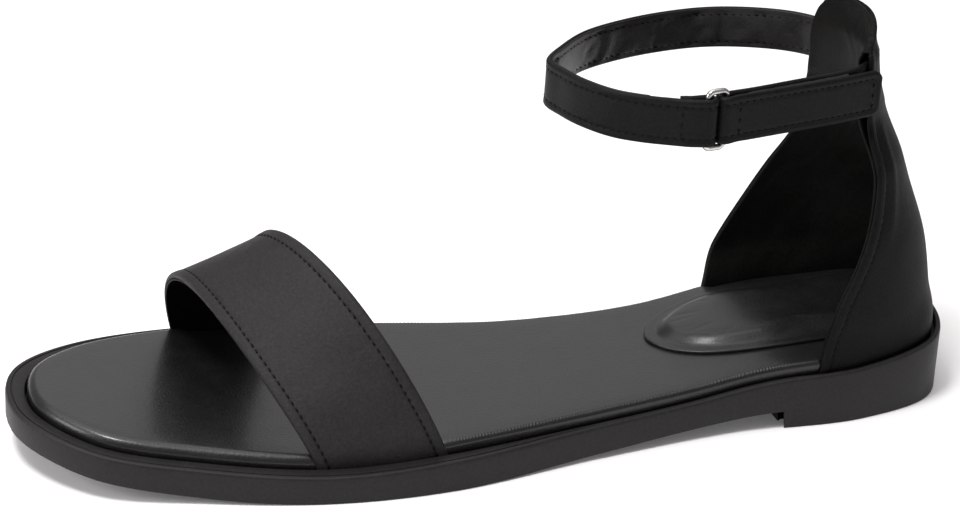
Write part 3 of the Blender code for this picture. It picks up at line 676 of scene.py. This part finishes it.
def band_row(turn, drop, v):
    """Return a row of the toe band's middle surface at a turn of its arch, drop below the rim at a foot."""
    c, s = math.cos(turn), math.sin(turn)
    share = (1 - c) / 2
    ends = []
    for i in (0, 1):
        foot = {1: BAND["lateral"][i], -1: BAND["medial"][i]}
        across = {k: across_at(k, foot[k], RIM_WIDTH[k](foot[k]) + GAP + LEATHER / 2) for k in foot}
        base = RIM(foot[1]) + (RIM(foot[-1]) - RIM(foot[1])) * share
        ends.append((
            (across[1] + across[-1]) / 2 + (across[1] - across[-1]) / 2 * c,
            foot[1] + (foot[-1] - foot[1]) * share + BAND["bow"][i] * s,
            base + BAND["rise"][i] * s * (1 + BAND["lean"][i] * c) - drop,
        ))
    ends = np.array(ends, float)
    row = ends[0] + (ends[1] - ends[0]) * v[:, None]
    side = 1 if c > 0 else -1
    foot = BAND["lateral" if side > 0 else "medial"]
    along = foot[0] + (foot[1] - foot[0]) * v
    true = np.array([across_at(side, a, RIM_WIDTH[side](a) + GAP + LEATHER / 2) for a in along])
    straight = true[0] + (true[-1] - true[0]) * v
    row[:, 0] += (true - straight) * abs(c) ** 3
    return row


band_turns = np.linspace(0, math.pi, 141)
band_drops = np.linspace(TRAY_DEPTH - GAP, 0.0, 5)[:-1]
band_places = [(0.0, d) for d in band_drops] + [(t, 0.0) for t in band_turns] \
    + [(math.pi, d) for d in band_drops[::-1]]
band_dense = np.array([band_row(turn, drop, np.linspace(0, 1, 25)) for turn, drop in band_places])
band_grid, band_in = spaced(band_dense, 24)
band_turn = np.array([turn for turn, _ in band_places])[:, None]
band_across = np.linspace(0, 1, band_grid.shape[1])[None, :]
slack = 0.10 * wavy(band_turn * 7.0, band_across * 3.0, 41)
slack = (slack + 0.05 * wavy(band_turn * 19.0, band_across * 8.0, 42)) * ease(band_in / 5.0)
band_back = rounded(band_in, BAND_ROUND) * ((LEATHER - LINING) / 2)
band_skin = band_back + turned_edge(band_in) + slack
lifted = band_grid + normals_of(band_grid, BAND_INSIDE) * LINING / 2
band, band_top, band_normal = panel(
    "toe_band_leather", lifted, closed_ends(band_skin), closed_ends(band_back), BAND_INSIDE)
# Painted light: the band's black leather gets lighter tones than the counter's and strap's, standing in for
# the light that falls on the band's top.
LIT_UPPER_LEATHER = surface_material("upper_leather", (0.0125, 0.0119, 0.0115), (0.0225, 0.0215, 0.0208),
                         0.52, 0.5, 0.9, 0.15, shine=0.2)
finish(band, LIT_UPPER_LEATHER, "upper_leather", "toe_band")
lining_grid = band_grid - normals_of(band_grid, BAND_INSIDE) * (LEATHER / 2 - LINING / 2)
lining_body = closed_ends(rounded(band_in, LINING_ROUND) * LINING / 2)
band_lining = panel("toe_band_lining", lining_grid, lining_body, lining_body, BAND_INSIDE)[0]
LINING_LEATHER = surface_material("lining_leather", (0.002, 0.0019, 0.0016), (0.005, 0.0047, 0.0042), 0.55,
                                  0.5, 0.5, 0.1, shine=0.1)
finish(band_lining, LINING_LEATHER, "upper_leather")
stitch_column = int(np.argmin(abs(EDGE_STEPS - STITCH_IN)))
visible = slice(3, -3)
sew("toe_band_stitches", [seam(band_top[visible, c], band_normal[visible, c])
                          for c in (stitch_column, -1 - stitch_column)], "upper_leather")

# Heel counter: outer leather and lining, folded and stitched along both front edges. Low down they lie
# together between rim and footbed; behind the ankle they part and the strap runs between them.
ANKLE_CENTRE = 1.2
SECTION = {
    "height": (10, 18, 30, 45, 60, 72, 82, 97.5, 106),
    "back": (3.6, 3.9, 5.9, 9.2, 14.8, 19.3, 24.2, 28.4, 28.9),
    "widest_at": (44, 44, 44, 43, 45, 50, 54, 54, 54),
    "half_width": (26.2, 27.6, 29.0, 29.0, 28.6, 29.4, 31.0, 31.0, 31.0),
    "square": (2.5, 2.5, 2.4, 2.3, 2.1, 2.0, 1.9, 1.9, 1.9),
}
COUNTER_EDGE = {
    "height": (10, 22, 32, 42, 50, 58, 66, 77, 84, 94, 106),
    "lateral": (46.0, 44.2, 41.8, 37.9, 35.4, 33.7, 33.0, 34.2, 35.2, 35.7, 35.2),
    "medial": (59.6, 55.2, 50.0, 43.9, 38.9, 34.2, 31.4, 30.8, 31.8, 33.2, 33.2),
}
COUNTER_ROOM = {
    "height": (10.0, 72.0, 79.0, 82.0, 96.2, 98.6, 101.0, 106.0),
    "wall": (2.0, 2.0, 3.2, 4.0, 4.0, 2.7, 2.0, 2.0),
}
OUTER_LEATHER = 1.05
COUNTER_LINING = 0.85
OUTER_ROUND = 0.75
COUNTER_LINING_ROUND = 0.6
SEAT_HEIGHT = 16.0
HEEL_ROUND = 0.08
RISE_HEIGHT = 12.0
NECK = 62.0
LOOP_FROM, LOOP_TO = 66.0, 81.0
TAB_FROM, TAB_TOP, TAB_SQUARE = 97.5, 105.4, 3.2
TAB_CORNER = {1: 6.4, -1: 3.6}
TAB_PULL = 0.2
TAB_LEVELS = (0.12, 0.26, 0.4, 0.54, 0.68, 0.8, 0.88, 0.935, 0.965, 0.985, 0.996, 1.0)
SLEEVE_REACH = 36.0
GATHERED = ((99.0, 1.0), (79.0, 0.6))
PIPE = {"in": 6.8, "wide": 1.7, "high": 0.4, "from": 44.0, "to": 81.0}
ANKLE_INSIDE = (1.2, 60.0, 60.0)
LOOP_POINTS = (
    (1.2, 26.6), (11.5, 29.4), (19.3, 36.3), (23.1, 44.0), (25.0, 51.6), (27.1, 63.5), (29.2, 75.2),
    (30.8, 85.0), (28.0, 93.0), (25.1, 99.0), (20.2, 105.0), (11.6, 110.0), (3.6, 112.5),
    (-4.0, 113.6), (-13.6, 106.8), (-22.4, 97.6), (-28.7, 83.8), (-31.9, 70.0), (-32.3, 58.5),
    (-29.9, 48.4), (-25.0, 38.7), (-19.8, 33.4), (-10.2, 28.6),
)
STRAP_LEAN = {
    "turn": (0.0, 0.2, 0.31, 0.46, 0.6, 0.7, 0.79, 0.86, 1.0),
    "share": (0.0, 0.0, 0.7, 0.9, 1.0, 1.0, 0.3, 0.0, 0.0),
}
STRAP_WIDTH = 12.6
STRAP_BOTTOM = 83.0
STRAP_FALL = 0.02
ANKLE_ALONG = 60.0
RING_AT = 82.5
ANKLE = {name: smooth(SECTION["height"], SECTION[name]) for name in SECTION}
EDGES = {1: smooth(COUNTER_EDGE["height"], COUNTER_EDGE["lateral"]),
         -1: smooth(COUNTER_EDGE["height"], COUNTER_EDGE["medial"])}
WALL = smooth(COUNTER_ROOM["height"], COUNTER_ROOM["wall"])
STRAP_MIDDLE = STRAP_BOTTOM + STRAP_WIDTH / 2
LEAN_SHARE = smooth(STRAP_LEAN["turn"], STRAP_LEAN["share"])
loop, loop_inward = closed_curve(LOOP_POINTS, 20)
outer_places = np.nonzero(loop[:, 0] > 0)[0]
ring_place = outer_places[np.argmin(abs(loop[outer_places, 1] - RING_AT))]
loop, loop_out = np.roll(loop, -ring_place, 0), -np.roll(loop_inward, -ring_place, 0)
LOOP_HEEL = int(np.argmin(loop[:, 1]))
loop, loop_out = (np.concatenate([a, a[:1]]) for a in (loop, loop_out))
LOOP_LENGTHS = lengths_along(loop)
LOOP_LENGTH = LOOP_LENGTHS[-1]


def on_loop(run, out):
    """Return (across, along) at a distance round the strap's loop from the ring and a distance out of it."""
    run = np.asarray(run, float) % LOOP_LENGTH
    away = at_lengths(run, LOOP_LENGTHS, loop_out)
    return at_lengths(run, LOOP_LENGTHS, loop) + away * np.asarray(out, float)[..., None]


def loop_lean(run, height):
    """Return how far the strap's loop leans in at a height above its middle, most behind the ankle."""
    share = LEAN_SHARE(np.asarray(run, float) % LOOP_LENGTH / LOOP_LENGTH)
    return share * (ANKLE["back"](height) - ANKLE["back"](STRAP_MIDDLE))


def loop_row(side, share, height):
    """Return places on the loop, share of the way from the heel to the counter's edge."""
    heel = LOOP_LENGTHS[LOOP_HEEL]
    runs = heel + side * np.linspace(0.0, SLEEVE_REACH, 73)
    path = on_loop(runs[None, :], -loop_lean(runs[None, :], height[:, None]))[..., 1]
    wanted = EDGES[side](height)
    edge = np.array([np.interp(w, p, runs) for w, p in zip(wanted, path)])
    run = heel + (edge - heel) * share
    return on_loop(run, -loop_lean(run, height))


def section_row(side, share, height):
    """Return places on the counter's own sections, share of the way from its back to its edge."""
    edge, rear, widest = EDGES[side](height), ANKLE["back"](height), ANKLE["widest_at"](height)
    along = rear + (edge - rear) * (1 - np.cos(share * math.pi / 2))
    square = ANKLE["square"](height)
    reach = np.maximum((widest - along) / (widest - rear), 0.0)
    across = side * ANKLE["half_width"](height) * np.maximum(1 - reach ** square, 0.0) ** (1 / square)
    across += ANKLE_CENTRE
    inset = RIM_WIDTH[side](along) + GAP + COUNTER_WALL / 2
    centred = ease(share / HEEL_ROUND)
    low = np.array([across_at(side, a, i) for a, i in zip(along, inset)])
    low = low * centred + ANKLE_CENTRE * (1 - centred)
    rise = ease((height - RIM(along) - GAP) / RISE_HEIGHT)
    return np.stack([low + (across - low) * rise, along], -1)


def counter_half(side, share, height):
    """Return places on one half of the counter's middle surface."""
    to_loop = ease((height - LOOP_FROM) / (LOOP_TO - LOOP_FROM))[:, None]
    at = section_row(side, share, height)
    if to_loop.max() > 0:
        at = at * (1 - to_loop) + loop_row(side, share, height) * to_loop
    return np.column_stack([at, height])


counter_levels = [("foot", q) for q in (0.0, 0.3, 0.6)] + [("wall", q) for q in np.linspace(0, 1, 44)]
counter_levels += [("sleeve", q) for q in np.linspace(0, 1, 40)[1:]]
counter_levels += [("tab", q) for q in TAB_LEVELS]
counter_dense = []
half_shares = np.linspace(0, 1, 91)
for zone, q in counter_levels:
    halves = []
    for side in (-1, 1):
        seat = section_row(side, half_shares, np.full_like(half_shares, SEAT_HEIGHT))[:, 1]
        rim = RIM(seat) + GAP
        top = TAB_TOP - TAB_CORNER[side] * half_shares ** TAB_SQUARE
        height = {
            "foot": rim - TRAY_DEPTH + (TRAY_DEPTH - GAP) * q,
            "wall": rim + (NECK - rim) * q,
            "sleeve": np.full_like(half_shares, NECK + (TAB_FROM - NECK) * q),
            "tab": TAB_FROM + (top - TAB_FROM) * q,
        }[zone]
        pull = 1 - TAB_PULL * (1 - math.sqrt(1 - max((q - 0.1) / 0.9, 0.0) ** 2)) * (zone == "tab")
        halves.append(counter_half(side, half_shares * pull, height))
    counter_dense.append(np.concatenate([halves[0][::-1], halves[1][1:]]))
counter_grid, counter_in = spaced(np.array(counter_dense), 60)
counter_height = counter_grid[:, :, 2]
counter_top_in = np.maximum(counter_grid[-1][None, :, 2] - counter_height, 0.0)
counter_normal = normals_of(counter_grid, ANKLE_INSIDE)
room = WALL(counter_height)
all_in = np.minimum(counter_in, counter_top_in)
outer_middle = counter_grid + counter_normal * (room / 2 - OUTER_LEATHER / 2)[:, :, None]
outer_back = rounded(all_in, OUTER_ROUND) * OUTER_LEATHER / 2
outer_skin = outer_back + turned_edge(counter_in)
gathers = sum(much * np.exp(-((counter_height - level) / 4.0) ** 2) for level, much in GATHERED)
gathers = gathers * np.exp(-(counter_in / 7.0) ** 2) * ease(counter_in / 0.8)
pipe = np.exp(-((counter_in - PIPE["in"]) / PIPE["wide"]) ** 2)
pipe = pipe * ease((counter_height - PIPE["from"]) / 14.0)
outer_skin += PIPE["high"] * pipe * ease((PIPE["to"] - counter_height) / 9.0)
outer_skin += 0.3 * wavy(counter_in / 1.5, counter_height / 7.0, 52) * gathers
outer_skin += 0.05 * wavy(counter_grid[:, :, 1] / 6.0, counter_height / 14.0, 51) * ease(counter_in / 5.0)
counter, counter_skin, counter_out = panel(
    "heel_counter_leather", outer_middle, closed_ends(outer_skin), closed_ends(outer_back), ANKLE_INSIDE)
# Painted shade: the counter's black leather gets darker tones than the band's, standing in for the shade on
# the heel's sides.
SHADED_COUNTER_LEATHER = surface_material("counter_leather", (0.0016, 0.0015, 0.0015), (0.006, 0.0056, 0.0056),
                                   0.56, 0.4, 0.7, 0.12, shine=0.1)
finish(counter, SHADED_COUNTER_LEATHER, "counter_leather", "heel_counter")
inner_middle = counter_grid - counter_normal * (room / 2 - COUNTER_LINING / 2)[:, :, None]
creases = 0.16 * wavy(counter_in / 2.2 + 3.0 * wavy(counter_height / 9.0, counter_in / 9.0, 61),
                      counter_height / 26.0, 62)
lining_back = rounded(all_in, COUNTER_LINING_ROUND) * COUNTER_LINING / 2
lining_face = lining_back + creases * ease(counter_in / 6.0)
counter_lining = panel("heel_counter_lining", inner_middle, closed_ends(lining_back),
                       closed_ends(lining_face), ANKLE_INSIDE)[0]
finish(counter_lining, LINING_LEATHER, "counter_leather")
counter_rows = slice(5, -9)
sew("heel_counter_stitches", [seam(counter_skin[counter_rows, c], counter_out[counter_rows, c])
                              for c in (stitch_column, -1 - stitch_column)], "counter_leather")

# Ankle strap: a folded and stitched leather strap, lined inside. It is sewn round the ring, runs round the
# ankle through the counter, turns in the ring and is held on itself by a hook-and-loop strip.
STRAP_THICK = 1.6
STRAP_SKIN = 1.45
RING_BAR = 2.7
RING_SHIFT = -1.2
RING_WIRE = 0.8
RING_CORNER = 1.5
RING_ROOM = 0.4
STRAP_STITCH = 2.0
FOLD_RUN = ((8.6, -1.0, 0.0), (5.2, -1.35, 0.0))
FRONT_RUN = ((5.2, 1.35, 0.0), (9.5, 0.95, 0.0), (17.0, 0.3, 0.0), (26.0, 0.0, 0.0))
INNER_RUN = ((-56.0, 0.0, 0.0), (-46.0, -0.2, 0.0), (-34.0, -1.3, 0.0), (-10.0, -1.35, 0.0),
             (-6.9, -1.55, 0.0))
TAB_RUN = ((-6.9, 1.6, 0.0), (-10.0, 1.5, 0.1), (-34.0, 1.4, 0.4), (-42.0, 1.8, 0.6),
           (-46.5, 2.7, 0.7), (-50.0, 4.3, 0.8))
TAB_ROUND = 3.2
STRAP_ROUND = 0.65
END_STEPS = (0.02, 0.1, 0.25, 0.5, 0.85, 1.3, 1.8, 2.4, 3.0)
LINED = (26.0, 110.0)
CROSS_SEAMS = ((7.6, "front"), (-7.4, "tab"), (-47.5, "tab"))


def route_part(rows, step):
    """Return (run, out, down) places at about equal steps through rows of a route."""
    ordered = sorted(rows)
    run = [row[0] for row in ordered]
    at = np.linspace(rows[0][0], rows[-1][0], max(round(abs(rows[-1][0] - rows[0][0]) / step), 1) + 1)
    return np.column_stack([at, smooth(run, [row[1] for row in ordered])(at),
                            smooth(run, [row[2] for row in ordered])(at)])


def strap_layer(route, leaning, low_edge, high_edge, columns, out=0.0):
    """Return a layer along a route, between two heights above the strap's lower edge.

    It is given as its middle surface, the distances from its edges and its normals.
    """
    line = on_loop(route[:, 0], route[:, 1])
    slope = np.gradient(line, axis=0)
    slope /= np.linalg.norm(slope, axis=1)[:, None]
    aside = np.stack([slope[:, 1], -slope[:, 0]], -1)
    low = STRAP_BOTTOM - STRAP_FALL * (line[:, 1] - ANKLE_ALONG) - route[:, 2]
    rows = []
    for k in range(len(route)):
        height = low[k] + np.linspace(low_edge[k], high_edge[k], 31)
        lean = loop_lean(route[k, 0], height) * leaning[k]
        at = on_loop(np.full_like(height, route[k, 0]), route[k, 1] - lean) + aside[k] * out
        rows.append(np.column_stack([at, height]))
    grid, edge_in = spaced(np.array(rows), columns)
    normal = np.column_stack([aside, np.zeros(len(aside))])
    return grid, edge_in, np.repeat(normal[:, None], grid.shape[1], 1)


def ring_turn(side):
    """Return the strap's route round the ring's bar ahead of the ring's middle (1) or behind it (-1)."""
    bend = RING_WIRE + GAP + STRAP_THICK / 2
    turn = np.radians(np.linspace(-90, 90, 15))
    run = RING_SHIFT + side * RING_BAR - side * bend * np.cos(turn)
    return np.column_stack([run, bend * np.sin(turn), 0 * turn])


ankle_runs = np.arange(FRONT_RUN[-1][0], LOOP_LENGTH + INNER_RUN[0][0], 1.1)[1:]
round_ankle = np.column_stack([ankle_runs, 0 * ankle_runs, 0 * ankle_runs])
inner_run = route_part(INNER_RUN, 1.2)
inner_run[:, 0] += LOOP_LENGTH
tab_run = route_part(TAB_RUN, 1.1)
route = np.concatenate([route_part(FOLD_RUN, 1.0), ring_turn(1), route_part(FRONT_RUN, 1.2), round_ankle,
                        inner_run, ring_turn(-1), tab_run])
leaning = np.r_[np.ones(len(route) - len(tab_run)), np.zeros(len(tab_run))]
chord = lengths_along(on_loop(route[:, 0], route[:, 1]))
keep = np.r_[True, np.diff(chord) > 0.05]
route, leaning, chord = route[keep], leaning[keep], chord[keep]
ends = chord[-1] - np.array(END_STEPS[::-1])
inside_ends = chord < ends[0] - 0.3
places_on = np.r_[chord[inside_ends], ends, chord[-1]]
route = at_lengths(places_on, chord, route)
leaning = np.interp(places_on, chord, leaning)
left = np.maximum(chord[-1] - places_on, 0.0)
corner = TAB_ROUND * (1 - rounded(left, TAB_ROUND))
strap_grid, strap_in, strap_normal = strap_layer(route, leaning, corner, STRAP_WIDTH - corner, 12)
end_in = np.minimum(strap_in, left[:, None])
body = rounded(np.minimum(end_in, places_on[:, None] + 0.2), STRAP_ROUND)
fold_line = turned_edge(end_in, fold=0.14, groove=0.2, row=STRAP_STITCH)
skin_out = body * (STRAP_SKIN / 2) + fold_line * body
strap_wrinkle = 0.05 * wavy(places_on[:, None] / 2.4 + strap_in * 0.12, strap_in / 5.0, 71)
outer_side = strap_grid + strap_normal * (skin_out + strap_wrinkle * ease(strap_in / 3.0))[:, :, None]
on_ankle = ease((places_on - LINED[0]) / 10.0) * ease((chord[-1] - LINED[1] - places_on) / 10.0)
inner_side = strap_grid - strap_normal * skin_out[:, :, None]
outer_side[0], inner_side[0], outer_side[-1], inner_side[-1] = (strap_grid[k] for k in (0, 0, -1, -1))
strap = sheet("ankle_strap_leather", outer_side, inner_side)
# Painted shade: the strap's black leather gets the counter's darker tones, standing in for the shade on its
# outer side.
SHADED_STRAP_LEATHER = surface_material("strap_leather", (0.002, 0.0019, 0.0018), (0.007, 0.0066, 0.0064), 0.52,
                                 0.4, 0.7, 0.12, shine=0.13)
finish(strap, SHADED_STRAP_LEATHER, "strap_leather", "ankle_strap")
strap_column = int(np.argmin(abs(EDGE_STEPS - 2.1)))
strap_seams = []
sewn = np.nonzero((places_on > 1.0) & (left > 2.0))[0]
for c in (strap_column, -1 - strap_column):
    strap_seams.append(seam(outer_side[sewn, c], strap_normal[sewn, c]))
    lifted_by = strap_normal[sewn, c] * (0.42 * ease(on_ankle[sewn] / 0.05))[:, None]
    strap_seams.append(seam(inner_side[sewn, c] - lifted_by, -strap_normal[sewn, c]))
for mark, face in CROSS_SEAMS:
    if face == "front":
        row = int(np.argmin(abs(route[:, 0] - mark) + 50 * (places_on < 14.0) + 50 * (places_on > 60.0)))
        skin, sign = outer_side, 1
    else:
        row = int(np.argmin(abs(route[:, 0] - mark) + 50 * (places_on < chord[-1] - 60.0)))
        skin, sign = inner_side, -1
    columns = slice(strap_column, -strap_column)
    strap_seams.append(seam(skin[row, columns], sign * strap_normal[row, columns]))
sew("ankle_strap_stitches", strap_seams, "strap_leather", length=1.4, thick=0.42)

# Strap lining: thin soft leather sewn to the strap's inner side where it lies on the ankle. It puckers
# between its two rows of stitches.
STRAP_LINING_HALF = 0.25
worn = np.nonzero(on_ankle > 0.02)[0]
worn_low, worn_high = np.full(len(worn), 0.2), np.full(len(worn), STRAP_WIDTH - 0.1)
strap_lining_grid, strap_lining_in, strap_lining_normal = strap_layer(
    route[worn], leaning[worn], worn_low, worn_high, 12, out=-STRAP_SKIN / 2 - 0.12)
worn_run = places_on[worn][:, None]
drift = 0.6 * wavy(worn_run / 9.0, strap_lining_in / 4.0, 72)
puckers = 0.42 * np.clip(wavy(worn_run / 2.6 + drift, strap_lining_in / 9.0, 73), -1.0, 0.35)
puckers = puckers * ease(strap_lining_in / 2.0) - 0.16 * np.exp(-((strap_lining_in - 1.6) / 0.4) ** 2)
lining_body = closed_ends(rounded(strap_lining_in, 0.25))
lining_front = strap_lining_normal * (lining_body * STRAP_LINING_HALF)[:, :, None]
lining_rear = strap_lining_normal * (lining_body * (STRAP_LINING_HALF + puckers))[:, :, None]
strap_lining = sheet("ankle_strap_lining", strap_lining_grid + lining_front, strap_lining_grid - lining_rear)
STRAP_LINING = surface_material("strap_lining", (0.004, 0.0035, 0.0033), (0.011, 0.0097, 0.0093),
                                0.4, 0.5, 0.5, 0.08, shine=0.3)
finish(strap_lining, STRAP_LINING, "strap_leather")

# Hook-and-loop strip: two napped tapes pressed together between the tab and the turn of strap below it, sewn
# on along the same rows.
PILE_RUN = (-41.0, -34.0, -10.0)
PILE_OUT = (0.45, 0.06, 0.06)
PILE_EDGES = (0.4, 0.6)
patch_runs = np.arange(PILE_RUN[0], PILE_RUN[-1], 0.35)
patch_route = np.column_stack([patch_runs, np.interp(patch_runs, PILE_RUN, PILE_OUT), 0 * patch_runs])
patch_low, patch_high = (np.full(len(patch_runs), e) for e in (PILE_EDGES[0], STRAP_WIDTH - PILE_EDGES[1]))
patch_grid, patch_in, patch_normal = strap_layer(
    patch_route, np.zeros(len(patch_runs)), patch_low, patch_high, 30)
patch_fuzz = 0.6 + 0.3 * wavy(patch_runs[:, None] / 0.55 + 0 * patch_in, patch_in / 0.5, 81)
patch_body = (rounded(patch_in, 0.3) * closed_ends(patch_fuzz))[:, :, None]
patch_half = patch_normal * patch_body
patch = sheet("hook_and_loop", patch_grid + patch_half, patch_grid - patch_half)
PILE = surface_material("hook_and_loop_pile", (0.006, 0.006, 0.006), (0.016, 0.016, 0.016), 0.9, 0.2, 1.0,
                        0.2)
finish(patch, PILE, "strap_leather")

# Ring: a bright plated wire bent to a rounded rectangle, standing in the plane of the strap.
front_place, rear_place = on_loop(RING_SHIFT + RING_BAR, 0.0), on_loop(RING_SHIFT - RING_BAR, 0.0)
ring_centre = (front_place + rear_place) / 2
ring_wide = np.linalg.norm(front_place - rear_place) / 2
forward = (front_place - rear_place) / (2 * ring_wide)
outward = np.array([forward[1], -forward[0]])
ring_middle = STRAP_MIDDLE - STRAP_FALL * (ring_centre[1] - ANKLE_ALONG)
ring_tall = STRAP_WIDTH / 2 + RING_ROOM + RING_WIRE
ring_path = []
for quarter, (sx, sz) in enumerate(((1, 1), (-1, 1), (-1, -1), (1, -1))):
    for step in range(11):
        a = math.radians(90 * quarter + 9 * step)
        ring_path.append((sx * (ring_wide - RING_CORNER) + RING_CORNER * math.cos(a),
                          sz * (ring_tall - RING_CORNER) + RING_CORNER * math.sin(a)))
ring_path = np.array(ring_path + ring_path[:1])
ring_slope = np.roll(ring_path[:-1], -1, 0) - np.roll(ring_path[:-1], 1, 0)
ring_slope /= np.linalg.norm(ring_slope, axis=1)[:, None]
ring_slope = np.concatenate([ring_slope, ring_slope[:1]])
ring_points = []
for (u, w), (du, dw) in zip(ring_path, ring_slope):
    row = []
    for a in np.radians(np.linspace(0, 360, 21)):
        flat = ring_centre + forward * (u + dw * RING_WIRE * math.cos(a)) + outward * RING_WIRE * math.sin(a)
        row.append((flat[0], flat[1], ring_middle + w - du * RING_WIRE * math.cos(a)))
    ring_points.append(row)
ring = formed("ring_wire", np.array(ring_points))
CHROME = surface_material("ring_metal", (0.55, 0.54, 0.53), (0.66, 0.65, 0.64), 0.22, 0.0, 0.2, 0.01,
                          metallic=1.0)
finish(ring, CHROME, "ring_metal", "strap_ring")
